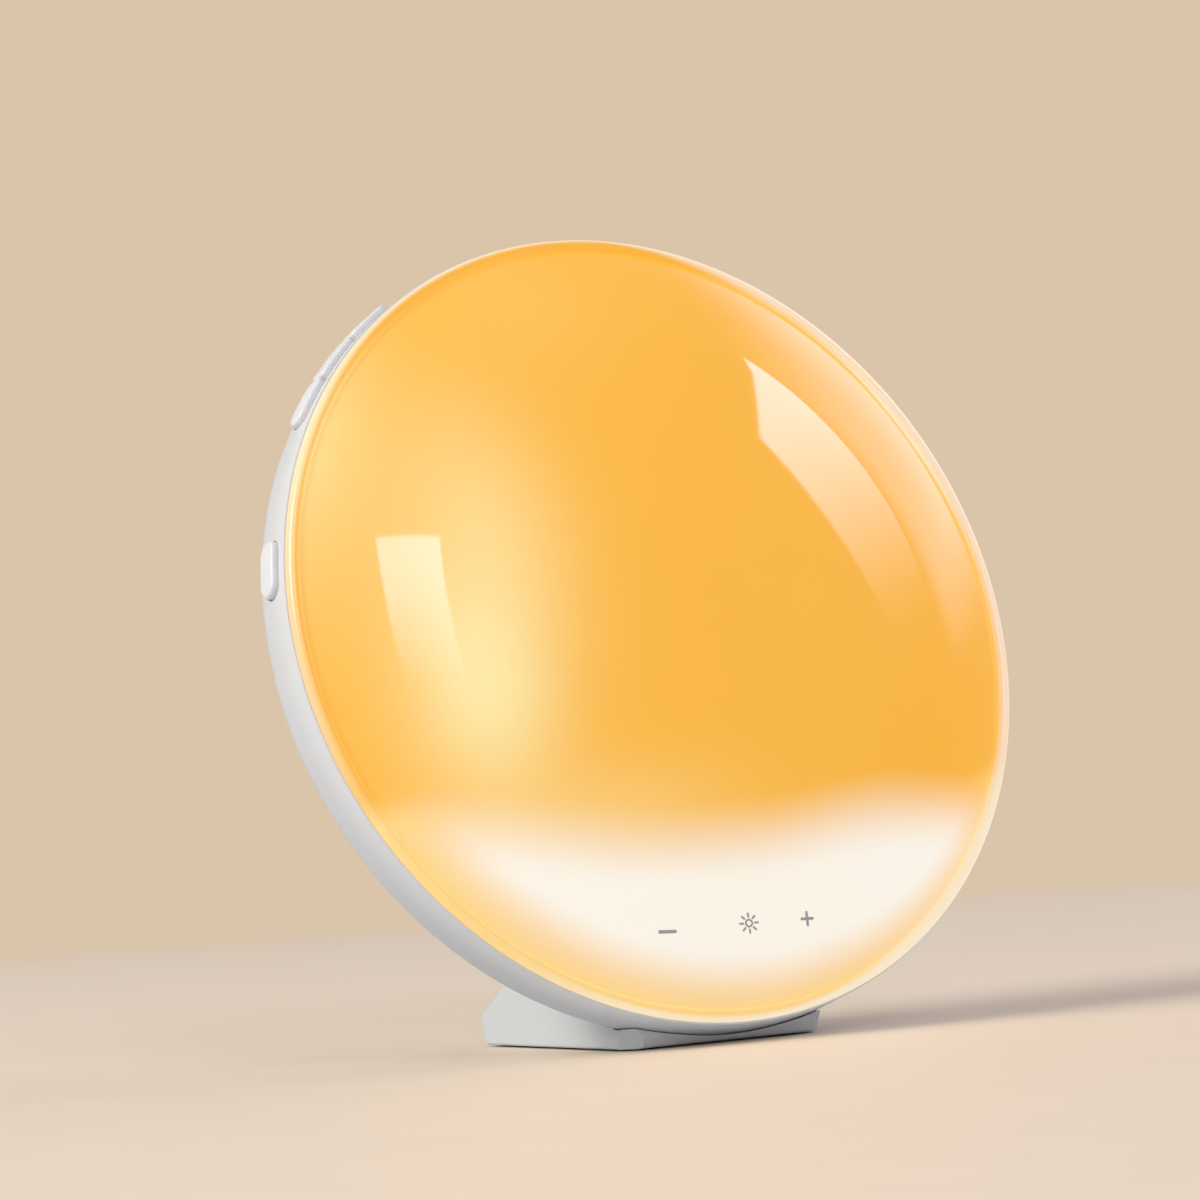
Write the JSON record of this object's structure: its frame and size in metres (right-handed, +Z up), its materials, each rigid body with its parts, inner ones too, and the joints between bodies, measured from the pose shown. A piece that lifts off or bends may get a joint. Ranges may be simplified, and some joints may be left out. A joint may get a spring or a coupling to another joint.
{
  "type": "sunrise alarm clock",
  "caption": "Round sunrise alarm clock: opal light dome with touch marks in a thin white shell, side buttons on its edge, leaning back on a short wedge foot.",
  "frame": {"origin": "on the table, under the middle of the clock's width and depth", "axes": "+Z up, -Y the way the light dome faces (it leans back 16 degrees), +X the clock's right as seen from the front"},
  "size_m": [0.1824, 0.079, 0.178],
  "materials": {
    "opal_diffuser": "satin opal, translucent, lit from behind",
    "white_shell": "satin white moulded plastic",
    "white_button": "satin white moulded plastic",
    "foot_rubber": "matt",
    "screw_steel": "zinc plated",
    "black_plastic": "fine grain",
    "green_board": "solder mask over glass-fibre laminate",
    "white_board": "white solder mask",
    "flat_cable": "flat ribbon cable",
    "reflector_white": "matt white, reflecting",
    "warm_led": "yellow phosphor in a white body",
    "clear_led": "clear resin in a white body",
    "display_black": "black body",
    "display_segment": "milky segments",
    "spring_steel": "plated spring wire and strip",
    "aluminium_can": "drawn can",
    "gasket_foam": "closed-cell foam ring",
    "dark_steel": "black plated",
    "cone_paper": "pressed paper",
    "red_lead": "insulated wire",
    "cell_steel": "bright nickel plated"
  },
  "bodies": {
    "clock": {"front_diffuser": "opal_diffuser", "rear_housing": "white_shell", "stand_foot": "white_shell", "foot_base_cover": "white_shell", "rubber_foot_pads": "foot_rubber", "foot_cover_screws": "screw_steel", "foot_mount_screws": "screw_steel", "housing_screws": "screw_steel", "left_switch_cases": "black_plastic", "right_switch_cases": "black_plastic", "left_switch_board": "green_board", "right_switch_board": "green_board", "switch_board_screws": "screw_steel", "left_switch_ribbon": "flat_cable", "right_switch_ribbon": "flat_cable", "reflector_tray": "reflector_white", "tray_screws": "screw_steel", "led_board": "white_board", "warm_white_leds": "warm_led", "color_leds": "clear_led", "led_board_screws": "screw_steel", "control_board": "green_board", "display_module": "display_black", "display_segments": "display_segment", "display_panel_leds": "warm_led", "touch_springs": "spring_steel", "light_shield": "reflector_white", "main_board": "green_board", "main_board_chips": "black_plastic", "capacitors": "aluminium_can", "clock_crystal": "aluminium_can", "led_header": "black_plastic", "control_ribbon": "flat_cable", "main_board_screws": "screw_steel", "dc_power_jack": "black_plastic", "speaker_gasket": "gasket_foam", "speaker_frame": "dark_steel", "speaker_cone": "cone_paper", "speaker_magnet": "dark_steel", "speaker_screws": "screw_steel", "speaker_leads": "red_lead", "battery_contacts": "spring_steel", "coin_cell": "cell_steel"},
    "left_lone_key": {"left_lone_button": "white_button", "left_lone_plunger": "black_plastic"},
    "left_upper_key": {"left_upper_button": "white_button", "left_upper_plunger": "black_plastic"},
    "left_middle_key": {"left_middle_button": "white_button", "left_middle_plunger": "black_plastic"},
    "left_lower_key": {"left_lower_button": "white_button", "left_lower_plunger": "black_plastic"},
    "right_lone_key": {"right_lone_button": "white_button", "right_lone_plunger": "black_plastic"},
    "right_upper_key": {"right_upper_button": "white_button", "right_upper_plunger": "black_plastic"},
    "right_middle_key": {"right_middle_button": "white_button", "right_middle_plunger": "black_plastic"},
    "right_lower_key": {"right_lower_button": "white_button", "right_lower_plunger": "black_plastic"},
    "door": {"battery_door": "white_shell"}
  },
  "joints": [
    {"name": "left_lone_press", "type": "slide", "parent": "clock", "child": "left_lone_key", "axis": [0.9816, -0.0526, -0.1834], "range_m": [0, 0.0006], "stiffness_N_per_m": 2000, "springref_m": -0.0004},
    {"name": "left_upper_press", "type": "slide", "parent": "clock", "child": "left_upper_key", "axis": [0.5962, -0.2213, -0.7717], "range_m": [0, 0.0006], "stiffness_N_per_m": 2000, "springref_m": -0.0004},
    {"name": "left_middle_press", "type": "slide", "parent": "clock", "child": "left_middle_key", "axis": [0.7046, -0.1956, -0.6821], "range_m": [0, 0.0006], "stiffness_N_per_m": 2000, "springref_m": -0.0004},
    {"name": "left_lower_press", "type": "slide", "parent": "clock", "child": "left_lower_key", "axis": [0.7986, -0.1659, -0.5785], "range_m": [0, 0.0006], "stiffness_N_per_m": 2000, "springref_m": -0.0004},
    {"name": "right_lone_press", "type": "slide", "parent": "clock", "child": "right_lone_key", "axis": [-0.9816, -0.0526, -0.1834], "range_m": [0, 0.0006], "stiffness_N_per_m": 2000, "springref_m": -0.0004},
    {"name": "right_upper_press", "type": "slide", "parent": "clock", "child": "right_upper_key", "axis": [-0.5962, -0.2213, -0.7717], "range_m": [0, 0.0006], "stiffness_N_per_m": 2000, "springref_m": -0.0004},
    {"name": "right_middle_press", "type": "slide", "parent": "clock", "child": "right_middle_key", "axis": [-0.7046, -0.1956, -0.6821], "range_m": [0, 0.0006], "stiffness_N_per_m": 2000, "springref_m": -0.0004},
    {"name": "right_lower_press", "type": "slide", "parent": "clock", "child": "right_lower_key", "axis": [-0.7986, -0.1659, -0.5785], "range_m": [0, 0.0006], "stiffness_N_per_m": 2000, "springref_m": -0.0004},
    {"name": "battery_door_lift", "type": "slide", "parent": "clock", "child": "door", "axis": [0, 0.9613, -0.2756], "range_m": [0, 0.012]}
  ]
}
